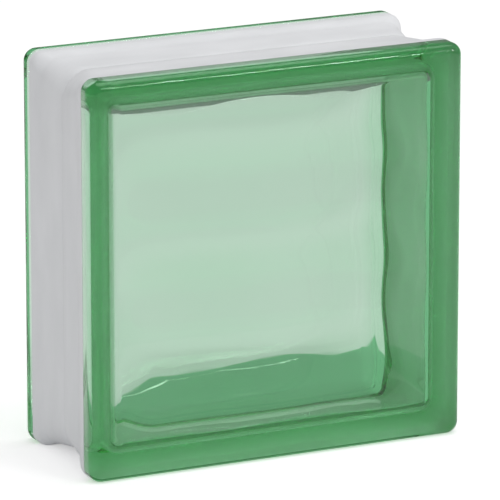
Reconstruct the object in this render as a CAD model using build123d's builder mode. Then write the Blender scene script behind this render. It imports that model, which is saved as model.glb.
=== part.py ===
"""Hollow glass block, 190 x 190 x 80 mm, with wavy inner faces and a coated edge.

Two pressed trays of tinted glass are fused mouth to mouth at mid-depth round a
sealed hollow. Each tray has a smooth outer face with a rounded flange round it,
four side walls that sink below the flange to form the mortar groove, and a wavy
relief pressed into the inner side of its face. A white coating covers the groove
all round the block.

The block stands on the edges of its flanges. X is the width, Y the depth with the
front face towards -Y, and Z the height. The origin is on the floor under the middle.
"""

import os
from math import atan2, cos, degrees, pi, radians, sin

from build123d import *

# Block, in millimetres
block_width = 190.0
block_height = 190.0
block_depth = 80.0

# Flange round each face
flange_band = 10.0  # bare glass from the face to the coating
flange_corner = 6.0
face_rounding = 4.5

# Mortar groove, measured below the flange
shoulder_start = 13.0  # from the face
shoulder_end = 21.0
shoulder_drop = 1.9
groove_depth = 3.2  # at the seam
shoulder_bands = 4  # flat bands that follow the curve of the shoulder
slope_bands = 3
shoulder_corner = 10.5
seam_corner = 15.0
coating_thickness = 0.4

# Glass round the hollow
face_thickness = 8.5
wall_at_face = 10.0  # from the flange's outside to the hollow, where its rounded edge begins
wall_at_seam = 5.5
hollow_corner = 14.0
hollow_fillet = 12.0
fillet_margin = 0.1  # from the deepest trough to where the rounded edges turn level

# Relief pressed into the inner side of each face, heights above and below the mean level
wave_height = 1.43
wave_length = 52.4
wave_tilt = radians(-5.7)  # of the crests, against the block's width
wave_phase = radians(139.7)
sway = 4.4  # how far the crests wander up and down
sway_length = 185.5
sway_phase = radians(188)
second_sway = 0.8  # twice as often
second_phase = radians(77)
swell_height = 0.42  # of the low swell that crosses the waves
swell_length = 76.0
swell_phase = radians(175)
wave_fade = 34.0  # from a side wall to waves of full height
side_rise = 0.9  # level strip along each side wall, above where the rounded edges turn level
wave_grid = 11.9  # spacing of the points that the wavy face passes through

half_depth = block_depth / 2
hollow_depth = half_depth - face_thickness
mouth_wall = groove_depth + coating_thickness + wall_at_seam
hollow_floor = hollow_depth + wave_height + swell_height + fillet_margin
rounding_start = hollow_floor - fillet_margin - hollow_fillet
draft_inset = wall_at_face - mouth_wall
side_drop = hollow_floor - hollow_depth - side_rise
front_seam = Plane(origin=(0, 0, block_height / 2), x_dir=(1, 0, 0), z_dir=(0, -1, 0))
back_seam = Plane(origin=(0, 0, block_height / 2), x_dir=(1, 0, 0), z_dir=(0, 1, 0))


def smooth_step(part, whole):
    """Rise from 0 to 1 with level ends as part goes from 0 to whole."""
    share = min(max(part / whole, 0.0), 1.0)
    return share * share * (3 - 2 * share)


def waist_shape(distance):
    """Depth below the flange and corner radius of the waist, at a distance from the face."""
    shoulder = smooth_step(distance - shoulder_start, shoulder_end - shoulder_start)
    slope = max(distance - shoulder_end, 0.0) / (half_depth - shoulder_end)
    depth = shoulder_drop * shoulder + (groove_depth - shoulder_drop) * slope
    corner = flange_corner + (shoulder_corner - flange_corner) * shoulder
    return depth, corner + (seam_corner - shoulder_corner) * slope


def waist(seam_plane, inset):
    """Solid of one half of the waist, sunk by inset below the coated surface."""
    shoulder_step = (shoulder_end - shoulder_start) / shoulder_bands
    slope_step = (half_depth - shoulder_end) / slope_bands
    shoulder = [shoulder_start + shoulder_step * n for n in range(shoulder_bands)]
    slope = [shoulder_end + slope_step * n for n in range(slope_bands + 1)]
    sections = []
    for distance in (flange_band, *shoulder, *slope):
        depth, corner = waist_shape(distance)
        with BuildSketch(seam_plane.offset(half_depth - distance)) as outline:
            RectangleRounded(
                block_width - 2 * (depth + inset),
                block_height - 2 * (depth + inset),
                corner - inset,
            )
        sections.append(outline.sketch)
    return loft(sections, ruled=True)


def relief(right, up):
    """Height of the relief above the waves' mean level, at a place from the face's middle."""
    along = right * cos(wave_tilt) + up * sin(wave_tilt)
    across = up * cos(wave_tilt) - right * sin(wave_tilt)
    across += sway * sin(2 * pi * along / sway_length + sway_phase)
    across += second_sway * sin(4 * pi * along / sway_length + second_phase)
    height = wave_height * sin(2 * pi * across / wave_length + wave_phase)
    height += swell_height * sin(2 * pi * along / swell_length + swell_phase)
    share = smooth_step(block_width / 2 - wall_at_face - abs(right), wave_fade)
    return height * share - side_drop * (1 - share)


def wavy_face(seam_plane):
    """Spline face through the relief, wider than the hollow that it ends."""
    columns = round(block_width / wave_grid)
    rows = round(block_height / wave_grid)
    points = []
    for row in range(rows + 1):
        up = block_height * (row / rows - 0.5)
        line = []
        for column in range(columns + 1):
            right = block_width * (column / columns - 0.5)
            depth = hollow_depth - relief(right, up)
            line.append(seam_plane.from_local_coords((right, up, depth)))
        points.append(line)
    return Face.make_surface_from_array_of_points(points, min_deg=3, max_deg=3)


def hollow(seam_plane):
    """Solid of one tray's hollow: drafted walls, rounded end edges and a wavy end."""
    outward = Axis(seam_plane.origin, seam_plane.z_dir)
    with BuildPart() as core:
        with BuildSketch(seam_plane):
            RectangleRounded(
                block_width - 2 * mouth_wall, block_height - 2 * mouth_wall, hollow_corner
            )
        extrude(amount=rounding_start, taper=degrees(atan2(draft_inset, rounding_start)))
        with BuildSketch(seam_plane.offset(rounding_start)):
            RectangleRounded(
                block_width - 2 * wall_at_face,
                block_height - 2 * wall_at_face,
                hollow_corner - draft_inset,
            )
        extrude(amount=hollow_floor - rounding_start)
        fillet(core.faces().sort_by(outward)[-1].edges(), hollow_fillet)
        split(bisect_by=wavy_face(seam_plane), keep=Keep.BOTH)
    return core.solids().sort_by(outward)[0]


def pressed_tray(seam_plane):
    """One half of the block: face, flange, walls and hollow."""
    outward = Axis(seam_plane.origin, seam_plane.z_dir)
    with BuildPart() as tray:
        with BuildSketch(seam_plane.offset(half_depth - flange_band)):
            RectangleRounded(block_width, block_height, flange_corner)
        extrude(amount=flange_band)
        fillet(tray.faces().sort_by(outward)[-1].edges(), face_rounding)
        add(waist(seam_plane, coating_thickness))
        add(hollow(seam_plane), mode=Mode.SUBTRACT)
    return tray


# The same pressing twice, the back one turned end for end
glass_front_half = pressed_tray(front_seam)
glass_back_half = pressed_tray(back_seam)

# White coating, flush with the flanges and meeting itself at the seam
with BuildPart() as edge_coating:
    for seam in (front_seam, back_seam):
        add(waist(seam, 0.0))
    for seam in (front_seam, back_seam):
        add(waist(seam, coating_thickness), mode=Mode.SUBTRACT)

glass_front_half.part.label = "glass_front_half"
glass_back_half.part.label = "glass_back_half"
edge_coating.part.label = "edge_coating"

os.makedirs("parts", exist_ok=True)
export_step(glass_front_half.part, "parts/glass_front_half.step")
export_step(glass_back_half.part, "parts/glass_back_half.step")
export_step(edge_coating.part, "parts/edge_coating.step")

glass_density = 2.5e-6  # kg per cubic millimetre
glass_volume = glass_front_half.part.volume + glass_back_half.part.volume
print(f"glass {glass_volume / 1e6:.3f} litres, {glass_volume * glass_density:.2f} kg")
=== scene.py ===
"""Looks of a hollow glass block: green pressed glass round a sealed hollow, and a white edge.

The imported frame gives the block's place and outer size. The glass is one fused body with smooth
outer faces and a wavy relief inside, and the coating is a thin white skin in the mortar groove.
Lengths are in metres, in the frame's own axes: X across, Y from front to back, Z up.
"""

import logging
import math
from dataclasses import dataclass
from enum import Enum
from typing import Callable, Sequence

import bmesh
import bpy
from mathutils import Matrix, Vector

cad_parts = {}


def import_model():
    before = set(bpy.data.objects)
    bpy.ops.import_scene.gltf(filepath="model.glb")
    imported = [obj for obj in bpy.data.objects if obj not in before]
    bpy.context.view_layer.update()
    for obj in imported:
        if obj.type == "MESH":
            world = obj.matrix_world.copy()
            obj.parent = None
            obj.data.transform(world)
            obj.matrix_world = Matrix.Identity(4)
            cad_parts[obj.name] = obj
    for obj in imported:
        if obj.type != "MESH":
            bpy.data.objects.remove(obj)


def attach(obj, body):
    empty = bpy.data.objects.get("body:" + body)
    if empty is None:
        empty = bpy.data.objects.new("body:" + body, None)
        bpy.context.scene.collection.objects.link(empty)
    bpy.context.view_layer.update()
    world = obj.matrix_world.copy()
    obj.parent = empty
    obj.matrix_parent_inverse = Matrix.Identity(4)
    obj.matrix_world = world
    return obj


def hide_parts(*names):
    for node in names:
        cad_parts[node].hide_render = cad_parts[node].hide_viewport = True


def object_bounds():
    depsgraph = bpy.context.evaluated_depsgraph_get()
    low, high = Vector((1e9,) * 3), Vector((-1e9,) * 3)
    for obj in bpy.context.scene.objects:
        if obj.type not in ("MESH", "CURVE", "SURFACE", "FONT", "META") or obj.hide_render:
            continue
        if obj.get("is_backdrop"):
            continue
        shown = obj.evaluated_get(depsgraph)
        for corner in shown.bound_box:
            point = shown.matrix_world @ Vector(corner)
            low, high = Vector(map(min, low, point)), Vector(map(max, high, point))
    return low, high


MM = 0.001
PHOTO_SIDE = 500
WHITE = (1.0, 1.0, 1.0, 1.0)
EVEN = (1.0, 1.0, 1.0)
NOISE_LOW, NOISE_HIGH = 0.3, 0.7
LOG = logging.getLogger("glass_block")

FlatPoint = tuple[float, float]
Colour = tuple[float, float, float, float]
Depth = Callable[[float, float], float]


class Side(Enum):
    """Which of the two pressed halves a surface belongs to; the value is the sign of its Y."""

    FRONT = -1
    BACK = 1


def smooth_step(share: float) -> float:
    """Rise from 0 to 1 with level ends as the share goes from 0 to 1."""
    share = min(max(share, 0.0), 1.0)
    return share * share * (3 - 2 * share)


def eased_corner(
    before: FlatPoint, corner: FlatPoint, after: FlatPoint, steps: int
) -> list[FlatPoint]:
    """Round a corner off with a short curve.

    Args:
        before: Where the curve starts.
        corner: The corner that it cuts.
        after: Where the curve ends.
        steps: Steps along the curve.

    Returns:
        The curve's points, with both ends.
    """
    points = []
    for step in range(steps + 1):
        share = step / steps
        weights = ((1 - share) ** 2, 2 * share * (1 - share), share**2)
        place = [
            sum(weight * value for weight, value in zip(weights, values))
            for values in zip(before, corner, after)
        ]
        points.append((place[0], place[1]))
    return points


@dataclass(frozen=True)
class RoundedOutline:
    """Rounded rectangle in the XZ plane, stepped the same way round at every size."""

    half_width: float
    half_height: float
    corner: float
    centre_height: float
    straight_steps: int = 84
    arc_steps: int = 8

    @property
    def side_steps(self) -> int:
        """Steps along one side, from the middle of one corner to the middle of the next."""
        return self.straight_steps + 2 * self.arc_steps

    def points(self) -> list[tuple[FlatPoint, FlatPoint]]:
        """Walk round the outline from the lower left corner.

        Returns:
            Each point with its outward direction, both as (x, z).
        """
        found = []
        for quarter in range(4):
            turn = quarter * math.pi / 2
            along = (math.cos(turn), math.sin(turn))
            outward = (math.sin(turn), -math.cos(turn))
            reach, away = self.half_width, self.half_height
            if quarter % 2:
                reach, away = away, reach
            found += [
                self._placed(step, along, outward, reach - self.corner, away - self.corner)
                for step in range(self.side_steps)
            ]
        return found

    def _placed(
        self, step: int, along: FlatPoint, outward: FlatPoint, run: float, rise: float
    ) -> tuple[FlatPoint, FlatPoint]:
        """Place one step of a side.

        Args:
            step: Number of the step along the side.
            along: Direction of the side.
            outward: Direction away from the middle.
            run: Half length of the straight stretch.
            rise: Distance of the corner centres from the middle line.

        Returns:
            The point and its outward direction.
        """
        last_straight = self.arc_steps + self.straight_steps
        straight = (step - self.arc_steps) / self.straight_steps
        centre = run * (2 * min(max(straight, 0.0), 1.0) - 1)
        lean = 0.0
        if step < self.arc_steps:
            lean = math.pi / 4 * (step / self.arc_steps - 1)
        elif step > last_straight:
            lean = math.pi / 4 * (step - last_straight) / self.arc_steps
        normal = tuple(
            math.cos(lean) * outward[axis] + math.sin(lean) * along[axis] for axis in range(2)
        )
        x, z = (
            centre * along[axis] + rise * outward[axis] + self.corner * normal[axis]
            for axis in range(2)
        )
        return (x, z + self.centre_height), normal


class SkinMesh:
    """Mesh made of rings with the same number of points, bridged and capped."""

    def __init__(self, name: str, side_steps: int) -> None:
        """Start an empty mesh.

        Args:
            name: Name of the piece.
            side_steps: Steps along one side of every ring.
        """
        self.name = name
        self.side_steps = side_steps
        self.mesh = bmesh.new()

    def ring(self, points: Sequence[Vector]) -> list[bmesh.types.BMVert]:
        """Add one ring of vertices."""
        return [self.mesh.verts.new(point) for point in points]

    def bridge(
        self,
        front: Sequence[bmesh.types.BMVert],
        back: Sequence[bmesh.types.BMVert],
        inward: bool,
        finish: int = 0,
    ) -> None:
        """Join two rings with quads.

        Args:
            front: Ring nearer to the front.
            back: Ring behind it.
            inward: True where the surface looks towards the block's middle.
            finish: Number of the piece's material.
        """
        count = len(front)
        for index in range(count):
            following = (index + 1) % count
            corners = [front[index], back[index], back[following], front[following]]
            face = self.mesh.faces.new(corners[::-1] if inward else corners)
            face.material_index = finish

    def cap(self, ring: Sequence[bmesh.types.BMVert], depth: Depth, faces_back: bool) -> None:
        """Fill a ring with a grid of quads.

        Args:
            ring: The ring to fill.
            depth: Gives Y at a place (x, z).
            faces_back: True where the surface looks towards +Y.
        """
        steps = self.side_steps
        edge = {}
        for step in range(steps + 1):
            edge[step, 0] = ring[step]
            edge[steps, step] = ring[steps + step]
            edge[steps - step, steps] = ring[2 * steps + step]
            edge[0, steps - step] = ring[(3 * steps + step) % (4 * steps)]
        grid = dict(edge)
        for column in range(1, steps):
            for row in range(1, steps):
                x, z = self._blended(edge, column, row)
                grid[column, row] = self.mesh.verts.new((x, depth(x, z), z))
        for column in range(steps):
            for row in range(steps):
                corners = [
                    grid[column, row],
                    grid[column + 1, row],
                    grid[column + 1, row + 1],
                    grid[column, row + 1],
                ]
                self.mesh.faces.new(corners[::-1] if faces_back else corners)

    def _blended(
        self, edge: dict[tuple[int, int], bmesh.types.BMVert], column: int, row: int
    ) -> FlatPoint:
        """Place a grid point between the four edges of its cap.

        Args:
            edge: Vertices on the cap's edges, by column and row.
            column: Column of the point.
            row: Row of the point.

        Returns:
            The place as (x, z).
        """
        steps = self.side_steps
        across, up = column / steps, row / steps
        place = []
        for axis in (0, 2):
            sides = (
                (1 - up) * edge[column, 0].co[axis]
                + up * edge[column, steps].co[axis]
                + (1 - across) * edge[0, row].co[axis]
                + across * edge[steps, row].co[axis]
            )
            corners = (
                (1 - across) * (1 - up) * edge[0, 0].co[axis]
                + across * (1 - up) * edge[steps, 0].co[axis]
                + across * up * edge[steps, steps].co[axis]
                + (1 - across) * up * edge[0, steps].co[axis]
            )
            place.append(sides - corners)
        return place[0], place[1]

    def finish(self) -> bpy.types.Object:
        """Write the mesh to a smooth shaded object.

        Returns:
            The new object, linked to the scene.
        """
        data = bpy.data.meshes.new(self.name)
        volume = self.mesh.calc_volume(signed=True)
        self.mesh.to_mesh(data)
        self.mesh.free()
        data.shade_smooth()
        piece = bpy.data.objects.new(self.name, data)
        bpy.context.scene.collection.objects.link(piece)
        litres = volume / MM
        LOG.info("%s: %d faces, %.3f litres", self.name, len(data.polygons), litres)
        return piece


class NodeSheet:
    """Small helper that wires a material's nodes by name."""

    def __init__(self, name: str) -> None:
        """Start an empty material.

        Args:
            name: Name of the material.
        """
        self.material = bpy.data.materials.new(name)
        self.material.use_nodes = True
        self.tree = self.material.node_tree
        self.tree.nodes.clear()
        self.output = self.tree.nodes.new("ShaderNodeOutputMaterial")

    def add(self, kind: str, **inputs: object) -> bpy.types.Node:
        """Add a node.

        Args:
            kind: Name of the node without its ShaderNode prefix.
            **inputs: Values for its sockets, with _ for each space.

        Returns:
            The new node.
        """
        node = self.tree.nodes.new("ShaderNode" + kind)
        for key, value in inputs.items():
            node.inputs[key.replace("_", " ")].default_value = value
        return node

    def link(self, source: bpy.types.NodeSocket, target: bpy.types.NodeSocket) -> None:
        """Join an output to an input."""
        self.tree.links.new(source, target)

    def noise(self, scale: float, detail: float, stretch: Sequence[float]) -> bpy.types.Node:
        """Add noise that is fixed to the object.

        Args:
            scale: Features in a metre.
            detail: Number of finer layers.
            stretch: Scale along each axis.

        Returns:
            The noise node.
        """
        place = self.add("TexCoord")
        mapping = self.add("Mapping", Scale=stretch)
        texture = self.add("TexNoise", Scale=scale, Detail=detail)
        self.link(place.outputs["Object"], mapping.inputs["Vector"])
        self.link(mapping.outputs["Vector"], texture.inputs["Vector"])
        return texture

    def spread(self, source: bpy.types.NodeSocket, low: float, high: float) -> bpy.types.NodeSocket:
        """Map the middle of a noise to a range.

        Args:
            source: The noise.
            low: Value at its dark places.
            high: Value at its bright places.

        Returns:
            The mapped value.
        """
        ranged = self.add(
            "MapRange", From_Min=NOISE_LOW, From_Max=NOISE_HIGH, To_Min=low, To_Max=high
        )
        self.link(source, ranged.inputs["Value"])
        return ranged.outputs["Result"]

    def blend(
        self, factor: bpy.types.NodeSocket, low: Colour, high: Colour
    ) -> bpy.types.NodeSocket:
        """Blend two colours.

        Args:
            factor: Share of the second colour.
            low: First colour.
            high: Second colour.

        Returns:
            The blended colour.
        """
        mix = self.add("Mix")
        mix.data_type = "RGBA"
        sockets = [socket for socket in mix.inputs if socket.type == "RGBA"]
        for socket, colour in zip(sockets, (low, high)):
            socket.default_value = colour
        self.link(factor, mix.inputs["Factor"])
        return next(socket for socket in mix.outputs if socket.type == "RGBA")


def combined(
    tree: bpy.types.NodeTree,
    operation: str,
    first: bpy.types.NodeSocket,
    second: bpy.types.NodeSocket | float,
) -> bpy.types.NodeSocket:
    """Combine two numbers in a node tree, kept between zero and one.

    Args:
        tree: Node tree to add to.
        operation: Name of the sum.
        first: First number.
        second: Second number.

    Returns:
        The result.
    """
    node = tree.nodes.new("ShaderNodeMath")
    node.operation = operation
    node.use_clamp = True
    tree.links.new(first, node.inputs[0])
    if isinstance(second, float):
        node.inputs[1].default_value = second
    else:
        tree.links.new(second, node.inputs[1])
    return node.outputs[0]


def seen(tree: bpy.types.NodeTree, to_camera: float, in_glass: float) -> bpy.types.NodeSocket:
    """Weigh the rays that see the surround itself, straight or by way of the glass.

    Args:
        tree: Node tree to add to.
        to_camera: Weight of camera rays.
        in_glass: Weight of glossy and transmission rays that nothing matt has scattered.

    Returns:
        The weight, zero for rays that only light something.
    """
    path = tree.nodes.new("ShaderNodeLightPath")
    clear = combined(tree, "ADD", path.outputs["Is Glossy Ray"], path.outputs["Is Transmission Ray"])
    clear = combined(tree, "SUBTRACT", clear, path.outputs["Diffuse Depth"])
    clear = combined(tree, "MULTIPLY", clear, in_glass)
    camera = combined(tree, "MULTIPLY", path.outputs["Is Camera Ray"], to_camera)
    return combined(tree, "ADD", camera, clear)


@dataclass(frozen=True)
class TintedGlass:
    """Green glass tinted in the mass, with the slight unevenness of a pressed surface."""

    slot: str = "green_glass"
    index: float = 1.52
    tint: Colour = (0.12, 0.80, 0.33, 1.0)
    tint_density: float = 26.0
    roughness: tuple[float, float] = (0.0, 0.012)
    haze_scale: float = 90.0
    haze_detail: float = 3.0
    ripple_scale: float = 45.0
    ripple_detail: float = 2.0
    ripple_height: float = 0.00002

    def material(self) -> bpy.types.Material:
        """Build the material.

        Returns:
            Clear dielectric with absorption inside.
        """
        sheet = NodeSheet("pressed_green_glass")
        surface = sheet.add("BsdfPrincipled", Transmission_Weight=1.0, IOR=self.index)
        surface.inputs["Base Color"].default_value = WHITE
        haze = sheet.noise(self.haze_scale, self.haze_detail, EVEN)
        sheet.link(sheet.spread(haze.outputs["Fac"], *self.roughness), surface.inputs["Roughness"])
        ripple = sheet.noise(self.ripple_scale, self.ripple_detail, EVEN)
        bump = sheet.add("Bump", Strength=1.0, Distance=self.ripple_height)
        sheet.link(ripple.outputs["Fac"], bump.inputs["Height"])
        sheet.link(bump.outputs["Normal"], surface.inputs["Normal"])
        sheet.link(surface.outputs["BSDF"], sheet.output.inputs["Surface"])
        inside = sheet.add("VolumeAbsorption", Color=self.tint, Density=self.tint_density)
        sheet.link(inside.outputs["Volume"], sheet.output.inputs["Volume"])
        return sheet.material


@dataclass(frozen=True)
class WhiteCoating:
    """White coating with faint runs and a fine grain."""

    slot: str = "white_coating"
    shade: Colour = (0.79, 0.80, 0.82, 1.0)
    pale: Colour = (0.85, 0.86, 0.88, 1.0)
    roughness: tuple[float, float] = (0.42, 0.58)
    index: float = 1.5
    run_scale: float = 30.0
    run_detail: float = 4.0
    run_stretch: tuple[float, float, float] = (1.0, 2.5, 1.0)
    grain_scale: float = 900.0
    grain_detail: float = 3.0
    grain_strength: float = 0.6
    grain_height: float = 0.00005
    # Colours of the side against the glass: painted light, paler than the coating itself
    painted_light_underside: Colour = (0.92, 0.93, 0.93, 1.0)
    painted_light_underside_pale: Colour = (0.96, 0.97, 0.97, 1.0)

    def _runs(self, sheet: NodeSheet) -> bpy.types.NodeSocket:
        """Add the cloudy noise of the runs."""
        return sheet.noise(self.run_scale, self.run_detail, self.run_stretch).outputs["Fac"]

    def material(self) -> bpy.types.Material:
        """Build the material.

        Returns:
            Satin white with cloudy variation.
        """
        sheet = NodeSheet("white_coating")
        surface = sheet.add("BsdfPrincipled", IOR=self.index)
        runs = self._runs(sheet)
        colour = sheet.blend(sheet.spread(runs, 0.0, 1.0), self.shade, self.pale)
        sheet.link(colour, surface.inputs["Base Color"])
        sheet.link(sheet.spread(runs, *self.roughness), surface.inputs["Roughness"])
        grain = sheet.noise(self.grain_scale, self.grain_detail, EVEN)
        bump = sheet.add("Bump", Strength=self.grain_strength, Distance=self.grain_height)
        sheet.link(grain.outputs["Fac"], bump.inputs["Height"])
        sheet.link(bump.outputs["Normal"], surface.inputs["Normal"])
        sheet.link(surface.outputs["BSDF"], sheet.output.inputs["Surface"])
        return sheet.material

    def underside(self) -> bpy.types.Material:
        """Build the finish of the side that lies against the glass.

        Returns:
            Matt white with faint clouds, lying against the glass with no air between; painted paler
            than the outer side as painted light.
        """
        sheet = NodeSheet("white_coating_against_glass")
        surface = sheet.add("BsdfPrincipled", Roughness=1.0, Specular_IOR_Level=0.0)
        runs = sheet.spread(self._runs(sheet), 0.0, 1.0)
        # Painted light: the side against the glass is lifted paler than the outer coating
        colour = sheet.blend(runs, self.painted_light_underside, self.painted_light_underside_pale)
        sheet.link(colour, surface.inputs["Base Color"])
        sheet.link(surface.outputs["BSDF"], sheet.output.inputs["Surface"])
        return sheet.material


@dataclass(frozen=True)
class PaleFloor:
    """White floor with a painted green shade as far as a line close behind the block.

    The painted shade stands in for the block's own green shadow and shows only through the glass.
    It has no limit towards the front, so a camera behind the block sees it over the whole floor
    before the block.
    """

    white: Colour = (0.86, 0.86, 0.86, 1.0)
    lift: float = 0.4
    lift_in_glass: float = 0.02
    # Painted shade: a green colour for the block's own shadow on the floor behind it
    shade: Colour = (0.25, 0.54, 0.34, 1.0)
    painted_shade_reach: tuple[float, float] = (60 * MM, 64 * MM)

    def _painted_shade(self, sheet: NodeSheet) -> bpy.types.NodeSocket:
        """Weigh the painted shade, which shows only through the glass.

        Args:
            sheet: The floor's material.

        Returns:
            One in the painted shade, zero past its reach and for rays that don't come out of glass.
        """
        place = sheet.add("NewGeometry")
        axes = sheet.add("SeparateXYZ")
        sheet.link(place.outputs["Position"], axes.inputs[0])
        near, far = self.painted_shade_reach
        nearness = sheet.add("MapRange", From_Min=near, From_Max=far, To_Min=1.0, To_Max=0.0)
        sheet.link(axes.outputs["Y"], nearness.inputs["Value"])
        path = sheet.add("LightPath")
        through_glass = path.outputs["Is Transmission Ray"]
        return combined(sheet.tree, "MULTIPLY", nearness.outputs["Result"], through_glass)

    def material(self) -> bpy.types.Material:
        """Build the material.

        Returns:
            Matt white that looks plain white to the camera.
        """
        sheet = NodeSheet("pale_floor")
        paint = sheet.add("BsdfDiffuse")
        # Paint the green shade into the floor's colour where the floor is seen through the glass
        colour = sheet.blend(self._painted_shade(sheet), self.white, self.shade)
        sheet.link(colour, paint.inputs["Color"])
        glow = sheet.add("Emission", Color=WHITE)
        sheet.link(seen(sheet.tree, self.lift, self.lift_in_glass), glow.inputs["Strength"])
        total = sheet.add("AddShader")
        sheet.link(paint.outputs[0], total.inputs[0])
        sheet.link(glow.outputs[0], total.inputs[1])
        sheet.link(total.outputs[0], sheet.output.inputs["Surface"])
        return sheet.material


@dataclass
class BlockBox:
    """The block's outer box, read from the frame."""

    low: Vector
    high: Vector

    @property
    def half_width(self) -> float:
        """Half of the block's width."""
        return (self.high.x - self.low.x) / 2

    @property
    def half_height(self) -> float:
        """Half of the block's height."""
        return (self.high.z - self.low.z) / 2

    @property
    def half_depth(self) -> float:
        """Distance from the seam to a face."""
        return (self.high.y - self.low.y) / 2

    @property
    def middle(self) -> float:
        """Height of the block's centre."""
        return (self.high.z + self.low.z) / 2

    def outline(self, inset: float, corner: float) -> RoundedOutline:
        """Give the outline at a depth below the flange."""
        return RoundedOutline(self.half_width - inset, self.half_height - inset, corner, self.middle)


@dataclass
class Waist:
    """Mortar groove between the flanges: a shoulder, then a slope down to the seam."""

    box: BlockBox
    flange_band: float = 10 * MM
    flange_corner: float = 6 * MM
    shoulder_start: float = 13 * MM
    shoulder_end: float = 21 * MM
    shoulder_drop: float = 1.9 * MM
    groove_depth: float = 3.2 * MM
    shoulder_corner: float = 10.5 * MM
    seam_corner: float = 15 * MM
    coating_thickness: float = 0.4 * MM
    shoulder_steps: int = 8
    slope_steps: int = 4

    def shape(self, distance: float) -> tuple[float, float]:
        """Measure the coated surface.

        Args:
            distance: Distance from the nearer face.

        Returns:
            Depth below the flange, and corner radius.
        """
        length = self.shoulder_end - self.shoulder_start
        shoulder = smooth_step((distance - self.shoulder_start) / length)
        slope = max(distance - self.shoulder_end, 0.0) / (self.box.half_depth - self.shoulder_end)
        depth = self.shoulder_drop * shoulder + (self.groove_depth - self.shoulder_drop) * slope
        corner = self.flange_corner + (self.shoulder_corner - self.flange_corner) * shoulder
        return depth, corner + (self.seam_corner - self.shoulder_corner) * slope

    def distances(self) -> list[float]:
        """List the distances from the face at which the waist has a ring."""
        shoulder_step = (self.shoulder_end - self.shoulder_start) / self.shoulder_steps
        slope_step = (self.box.half_depth - self.shoulder_end) / self.slope_steps
        shoulder = [self.shoulder_start + shoulder_step * n for n in range(self.shoulder_steps)]
        slope = [self.shoulder_end + slope_step * n for n in range(self.slope_steps + 1)]
        return [self.flange_band, *shoulder, *slope]

    def ring(self, distance: float, side: Side, sunk: float) -> list[Vector]:
        """Place one ring of the waist.

        Args:
            distance: Distance from the nearer face.
            side: Half that the ring belongs to.
            sunk: Depth below the coated surface.

        Returns:
            The ring's points.
        """
        depth, corner = self.shape(distance)
        y = side.value * (self.box.half_depth - distance)
        outline = self.box.outline(depth + sunk, corner - sunk)
        return [Vector((x, y, z)) for (x, z), _ in outline.points()]


@dataclass(frozen=True)
class Relief:
    """Flowing waves pressed into the inner side of each face, crossed by a low swell."""

    wave_height: float = 1.43 * MM
    wave_length: float = 52.4 * MM
    wave_tilt: float = math.radians(-5.7)
    wave_phase: float = math.radians(139.7)
    sway: float = 4.4 * MM
    sway_length: float = 185.5 * MM
    sway_phase: float = math.radians(188)
    second_sway: float = 0.8 * MM
    second_phase: float = math.radians(77)
    swell_height: float = 0.42 * MM
    swell_length: float = 76 * MM
    swell_phase: float = math.radians(175)

    @property
    def deepest(self) -> float:
        """Depth of the deepest trough below the mean level."""
        return self.wave_height + self.swell_height

    def height(self, right: float, up: float) -> float:
        """Give the height of the waves above their mean level.

        Args:
            right: Place across the pressing, from its middle.
            up: Place up the pressing, from its middle.

        Returns:
            Height, towards the hollow.
        """
        turn = 2 * math.pi
        along = right * math.cos(self.wave_tilt) + up * math.sin(self.wave_tilt)
        across = up * math.cos(self.wave_tilt) - right * math.sin(self.wave_tilt)
        across += self.sway * math.sin(turn * along / self.sway_length + self.sway_phase)
        across += self.second_sway * math.sin(
            2 * turn * along / self.sway_length + self.second_phase
        )
        waves = self.wave_height * math.sin(turn * across / self.wave_length + self.wave_phase)
        swell = math.sin(turn * along / self.swell_length + self.swell_phase)
        return waves + self.swell_height * swell


@dataclass(frozen=True)
class InwardPath:
    """Way from one point of the hollow's mouth towards the middle of its wavy face."""

    places: tuple[FlatPoint, ...]
    start: float
    length: float

    def at(self, inset: float) -> FlatPoint:
        """Give the place at a distance past the wall.

        Args:
            inset: Distance past the wall at the face, below zero towards the seam.

        Returns:
            The place as (x, z).
        """
        last = len(self.places) - 1
        step = (inset - self.start) / self.length * last
        low = min(int(step), last - 1)
        share = step - low
        near, far = self.places[low], self.places[low + 1]
        return near[0] + share * (far[0] - near[0]), near[1] + share * (far[1] - near[1])


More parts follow.
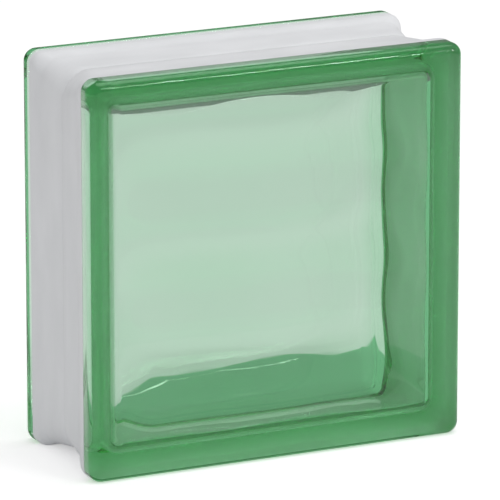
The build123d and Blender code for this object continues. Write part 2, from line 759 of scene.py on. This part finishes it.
@dataclass
class Hollow:
    """Sealed hollow: drafted walls, rounded edges and a wavy inner face at each end."""

    box: BlockBox
    relief: Relief
    face_thickness: float = 8.5 * MM
    wall_at_face: float = 10 * MM
    mouth_wall: float = 9.1 * MM
    corner: float = 8 * MM
    least_corner: float = 0.6 * MM
    rounding: float = 12 * MM
    margin: float = 0.1 * MM
    fade: float = 25 * MM
    side_rise: float = 0.9 * MM
    crease: float = 0.45 * MM
    border: float = 12.8 * MM
    path_steps: int = 90
    wall_steps: int = 4
    edge_steps: int = 10
    crease_steps: int = 4
    border_steps: int = 7
    halvings: int = 30

    @property
    def depth(self) -> float:
        """Mean distance from the seam to an inner face."""
        return self.box.half_depth - self.face_thickness

    @property
    def floor(self) -> float:
        """Distance from the seam at which the rounded edges turn level."""
        return self.depth + self.relief.deepest + self.margin

    @property
    def edge_start(self) -> float:
        """Distance from the seam at which a wall passes into its rounded edge."""
        return self.floor - self.rounding

    @property
    def lean(self) -> float:
        """How far a wall leans inward from the seam to its rounded edge."""
        return self.wall_at_face - self.mouth_wall

    def face_depth(self, x: float, z: float, side: Side) -> float:
        """Give the distance from the seam to the wavy face at a place.

        The waves die away towards the side walls, and the back pressing is turned end for end.

        Args:
            x: Place across the block.
            z: Height.
            side: The half.

        Returns:
            The distance.
        """
        up = (z - self.box.middle) * -side.value
        share = smooth_step((self.box.half_width - self.wall_at_face - abs(x)) / self.fade)
        level_strip = self.floor - self.side_rise
        return level_strip * (1 - share) + (self.depth - self.relief.height(x, up)) * share

    def rings(self, side: Side) -> list[list[Vector]]:
        """Place the rings of one half.

        Args:
            side: The half.

        Returns:
            Rings from the seam to the edge of the wavy face.
        """
        length = self.border + self.lean
        steps = range(self.path_steps + 1)
        outlines = [self._outline(length * step / self.path_steps - self.lean) for step in steps]
        paths = [InwardPath(places, -self.lean, length) for places in zip(*outlines)]
        columns = [self._column(path, side) for path in paths]
        return [list(ring) for ring in zip(*columns)]

    def _outline(self, inset: float) -> list[FlatPoint]:
        """Walk round the hollow at a distance past its wall at the face."""
        corner = max(self.corner - inset, self.least_corner)
        return [place for place, _ in self.box.outline(self.wall_at_face + inset, corner).points()]

    def _edge_at(self, turn: float) -> FlatPoint:
        """Give the distance past the wall, and the depth, at a turn of the rounded edge."""
        inset = self.rounding * (1 - math.cos(turn))
        return inset, self.edge_start + self.rounding * math.sin(turn)

    def _face_at(self, path: InwardPath, inset: float, side: Side) -> FlatPoint:
        """Give the distance past the wall, and the depth, on the wavy face."""
        return inset, self.face_depth(*path.at(inset), side)

    def _meeting(self, path: InwardPath, side: Side) -> float:
        """Find where the rounded edge meets the wavy face.

        Args:
            path: Way inward from the wall.
            side: The half.

        Returns:
            Turn of the rounded edge at the meeting, counted from the wall.
        """
        low, high = 0.0, math.pi / 2
        for _ in range(self.halvings):
            turn = (low + high) / 2
            inset, depth = self._edge_at(turn)
            if depth < self._face_at(path, inset, side)[1]:
                low = turn
            else:
                high = turn
        return low

    def _column(self, path: InwardPath, side: Side) -> list[Vector]:
        """Place one line of points from the seam over the wall and edge to the face.

        Args:
            path: Way inward from the wall.
            side: The half.

        Returns:
            The line's points.
        """
        meeting_turn = self._meeting(path, side)
        last_turn = meeting_turn - self.crease / self.rounding
        meeting = self._edge_at(meeting_turn)
        past = meeting[0] + self.crease
        line = []
        for step in range(self.wall_steps):
            share = step / self.wall_steps
            line.append((self.lean * (share - 1), self.edge_start * share))
        for step in range(self.edge_steps):
            line.append(self._edge_at(last_turn * step / self.edge_steps))
        before, after = self._edge_at(last_turn), self._face_at(path, past, side)
        line += eased_corner(before, meeting, after, self.crease_steps)
        for step in range(1, self.border_steps + 1):
            inset = past + (self.border - past) * step / self.border_steps
            line.append(self._face_at(path, inset, side))
        points = []
        for inset, depth in line:
            x, z = path.at(inset)
            points.append(Vector((x, side.value * depth, z)))
        return points


@dataclass
class GlassBody:
    """The two pressed halves, fused into one body of glass."""

    box: BlockBox
    waist: Waist
    hollow: Hollow
    finish: TintedGlass
    face_rounding: float = 4.5 * MM
    rounding_steps: int = 12
    name: str = "fused_glass_body"
    replaced: tuple[str, ...] = ("glass_front_half", "glass_back_half")

    def _outer_rings(self, side: Side) -> list[list[Vector]]:
        """Place the rings of one half's outside.

        Args:
            side: The half.

        Returns:
            Rings from the edge of the flat face to the seam.
        """
        rings = []
        for step in range(self.rounding_steps + 1):
            angle = math.pi / 2 * step / self.rounding_steps
            inset = self.face_rounding * (1 - math.sin(angle))
            y = side.value * (self.box.half_depth - self.face_rounding * (1 - math.cos(angle)))
            outline = self.box.outline(inset, self.waist.flange_corner - inset)
            rings.append([Vector((x, y, z)) for (x, z), _ in outline.points()])
        rings.append(self.waist.ring(self.waist.flange_band, side, 0.0))
        for distance in self.waist.distances():
            rings.append(self.waist.ring(distance, side, self.waist.coating_thickness))
        return rings

    def build(self) -> bpy.types.Object:
        """Build and dress the glass.

        Returns:
            The finished piece.
        """
        skin = SkinMesh(self.name, self.box.outline(0, self.waist.flange_corner).side_steps)
        outside = self._outer_rings(Side.FRONT) + self._outer_rings(Side.BACK)[-2::-1]
        inside = self.hollow.rings(Side.FRONT)[::-1] + self.hollow.rings(Side.BACK)[1:]
        for rings, inward in ((outside, False), (inside, True)):
            rows = [skin.ring(points) for points in rings]
            for front, back in zip(rows, rows[1:]):
                skin.bridge(front, back, inward)
            for row, side in ((rows[0], Side.FRONT), (rows[-1], Side.BACK)):
                faces_back = (side is Side.BACK) is not inward
                skin.cap(row, self._depth_of(side, inward), faces_back)
        piece = skin.finish()
        piece.data.materials.append(self.finish.material())
        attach(piece, "root")
        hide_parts(*self.replaced)
        return piece

    def _depth_of(self, side: Side, inward: bool) -> Depth:
        """Choose how far back a face of the glass lies at a place.

        Args:
            side: The half.
            inward: True for the wavy inner face.

        Returns:
            Function from (x, z) to Y.
        """
        if inward:
            return lambda x, z: side.value * self.hollow.face_depth(x, z, side)
        return lambda x, z: side.value * self.box.half_depth


@dataclass
class EdgeCoating:
    """White skin over the waist, from flange to flange, creased along the fused seam."""

    box: BlockBox
    waist: Waist
    finish: WhiteCoating
    contact: float = 0.1 * MM
    seam_crease: float = 0.22 * MM
    seam_reach: float = 0.7 * MM
    sharp_from: float = math.radians(50)
    name: str = "edge_coating_skin"
    replaced: tuple[str, ...] = ("edge_coating",)

    def _half(self, side: Side, sunk: float) -> list[list[Vector]]:
        """Place one half of the skin's inner or outer surface.

        Args:
            side: The half.
            sunk: Depth below the coated surface.

        Returns:
            Rings from the flange to just short of the seam.
        """
        distances = self.waist.distances()[:-1]
        distances.append(self.box.half_depth - self.seam_reach)
        return [self.waist.ring(distance, side, sunk) for distance in distances]

    def build(self) -> bpy.types.Object:
        """Build and dress the coating.

        Returns:
            The finished piece.
        """
        skin = SkinMesh(self.name, self.box.outline(0, self.waist.flange_corner).side_steps)
        seam = self.box.half_depth
        thickness = self.waist.coating_thickness + self.contact
        outside = [
            *self._half(Side.FRONT, 0.0),
            self.waist.ring(seam, Side.FRONT, self.seam_crease),
            *self._half(Side.BACK, 0.0)[::-1],
        ]
        inside = [
            *self._half(Side.FRONT, thickness),
            self.waist.ring(seam, Side.FRONT, thickness),
            *self._half(Side.BACK, thickness)[::-1],
        ]
        outer = [skin.ring(points) for points in outside]
        inner = [skin.ring(points) for points in inside]
        for rows, inward in ((outer, False), (inner, True)):
            for front, back in zip(rows, rows[1:]):
                skin.bridge(front, back, inward, finish=int(inward))
        skin.bridge(inner[0], outer[0], False)
        skin.bridge(outer[-1], inner[-1], False)
        piece = skin.finish()
        piece.data.set_sharp_from_angle(angle=self.sharp_from)
        piece.data.materials.append(self.finish.material())
        piece.data.materials.append(self.finish.underside())
        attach(piece, "root")
        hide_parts(*self.replaced)
        return piece


@dataclass
class Viewpoint:
    """Camera where the photograph was taken from."""

    azimuth: float = -25.185
    elevation: float = 15.474
    distance: float = 2.6393
    focal_pixels: float = 5635.6
    aside: float = 0.003376
    lift: float = -0.003632
    sensor: float = 36.0

    def build(self, centre: Vector) -> bpy.types.Object:
        """Place the camera.

        Args:
            centre: Middle of the block.

        Returns:
            The camera, made the scene's own.
        """
        turn, tilt = math.radians(self.azimuth), math.radians(self.elevation)
        back = Vector(
            (math.sin(turn) * math.cos(tilt), -math.cos(turn) * math.cos(tilt), math.sin(tilt))
        )
        right = Vector((math.cos(turn), math.sin(turn), 0))
        up = back.cross(right)
        target = centre + self.aside * right + self.lift * up
        data = bpy.data.cameras.new("photo_view")
        data.sensor_width = self.sensor
        data.lens = self.focal_pixels / PHOTO_SIDE * self.sensor
        camera = bpy.data.objects.new("photo_view", data)
        camera.location = target + self.distance * back
        camera.rotation_mode = "QUATERNION"
        camera.rotation_quaternion = (-back).to_track_quat("-Z", "Y")
        bpy.context.scene.collection.objects.link(camera)
        bpy.context.scene.camera = camera
        return camera


@dataclass(frozen=True)
class SoftLamp:
    """One large soft lamp that points at the block."""

    name: str
    place: tuple[float, float, float]
    size: tuple[float, float]
    power: float

    def build(self, target: Vector) -> bpy.types.Object:
        """Place the lamp.

        Args:
            target: Point that it faces.

        Returns:
            The lamp.
        """
        data = bpy.data.lights.new(self.name, "AREA")
        data.shape = "RECTANGLE"
        data.size, data.size_y = self.size
        data.energy = self.power
        lamp = bpy.data.objects.new(self.name, data)
        lamp.location = self.place
        lamp.rotation_mode = "QUATERNION"
        lamp.rotation_quaternion = (target - lamp.location).to_track_quat("-Z", "Y")
        bpy.context.scene.collection.objects.link(lamp)
        return lamp


@dataclass(frozen=True)
class Surround:
    """Soft light from all round, which looks plain white where it is seen."""

    sky: float = 0.6
    backdrop: float = 1.0
    backdrop_in_glass: float = 0.2

    def build(self) -> None:
        """Make it the scene's world."""
        world = bpy.data.worlds.new("studio")
        world.use_nodes = True
        bpy.context.scene.world = world
        tree = world.node_tree
        tree.nodes.clear()
        output = tree.nodes.new("ShaderNodeOutputWorld")
        glow = tree.nodes.new("ShaderNodeBackground")
        glow.inputs["Color"].default_value = WHITE
        lighting = tree.nodes.new("ShaderNodeMath")
        lighting.operation = "MULTIPLY_ADD"
        tree.links.new(seen(tree, 1.0, 1.0), lighting.inputs[0])
        lighting.inputs[1].default_value = -self.sky
        lighting.inputs[2].default_value = self.sky
        shown = seen(tree, self.backdrop, self.backdrop_in_glass)
        strength = combined(tree, "ADD", lighting.outputs[0], shown)
        tree.links.new(strength, glow.inputs["Strength"])
        tree.links.new(glow.outputs[0], output.inputs["Surface"])


@dataclass
class Studio:
    """Plain pale floor, soft surround and lamps."""

    surround: Surround = Surround()
    floor: PaleFloor = PaleFloor()
    floor_side: float = 2.8
    floor_cells: int = 8
    light_bounces: int = 32
    glass_bounces: int = 24
    paint_bounces: int = 12
    lamps: tuple[SoftLamp, ...] = (
        SoftLamp("overhead_softbox", (0.25, -0.15, 1.5), (1.0, 1.0), 5.8),
        SoftLamp("front_strip", (0.9, -1.7, 0.9), (0.6, 0.1), 6.0),
    )

    def _lay_floor(self, level: float) -> bpy.types.Object:
        """Lay the floor.

        Args:
            level: Height of the floor.

        Returns:
            The floor, declared as stage.
        """
        grid = bmesh.new()
        cells = self.floor_cells
        bmesh.ops.create_grid(grid, x_segments=cells, y_segments=cells, size=self.floor_side / 2)
        data = bpy.data.meshes.new("studio_floor")
        grid.to_mesh(data)
        grid.free()
        floor = bpy.data.objects.new("studio_floor", data)
        floor.location.z = level
        bpy.context.scene.collection.objects.link(floor)
        data.materials.append(self.floor.material())
        floor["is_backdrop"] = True
        return floor

    def build(self, centre: Vector, level: float) -> None:
        """Set the stage.

        Args:
            centre: Middle of the block.
            level: Height of the floor.
        """
        self.surround.build()
        self._lay_floor(level)
        for lamp in self.lamps:
            lamp.build(centre)
        scene = bpy.context.scene
        scene.view_settings.view_transform = "Standard"
        scene.cycles.max_bounces = self.light_bounces
        scene.cycles.transmission_bounces = self.glass_bounces
        scene.cycles.glossy_bounces = self.glass_bounces
        scene.cycles.diffuse_bounces = self.paint_bounces
        # Blurred glossy paths would darken the paint that is seen through the glass
        scene.cycles.blur_glossy = 0.0
        scene.cycles.use_denoising = True


def main() -> None:
    """Build the block's pieces and the studio."""
    logging.basicConfig(level=logging.INFO, format="%(name)s: %(message)s")
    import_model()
    frame_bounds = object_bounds()
    box = BlockBox(*frame_bounds)
    waist = Waist(box)
    hollow = Hollow(box, Relief())
    pieces = [
        GlassBody(box, waist, hollow, TintedGlass()).build(),
        EdgeCoating(box, waist, WhiteCoating()).build(),
    ]
    for piece in pieces:
        LOG.info("piece %s", piece.name)
    centre = Vector((0, 0, box.middle))
    Viewpoint().build(centre)
    Studio().build(centre, box.low.z)


if __name__ == "__main__":
    main()
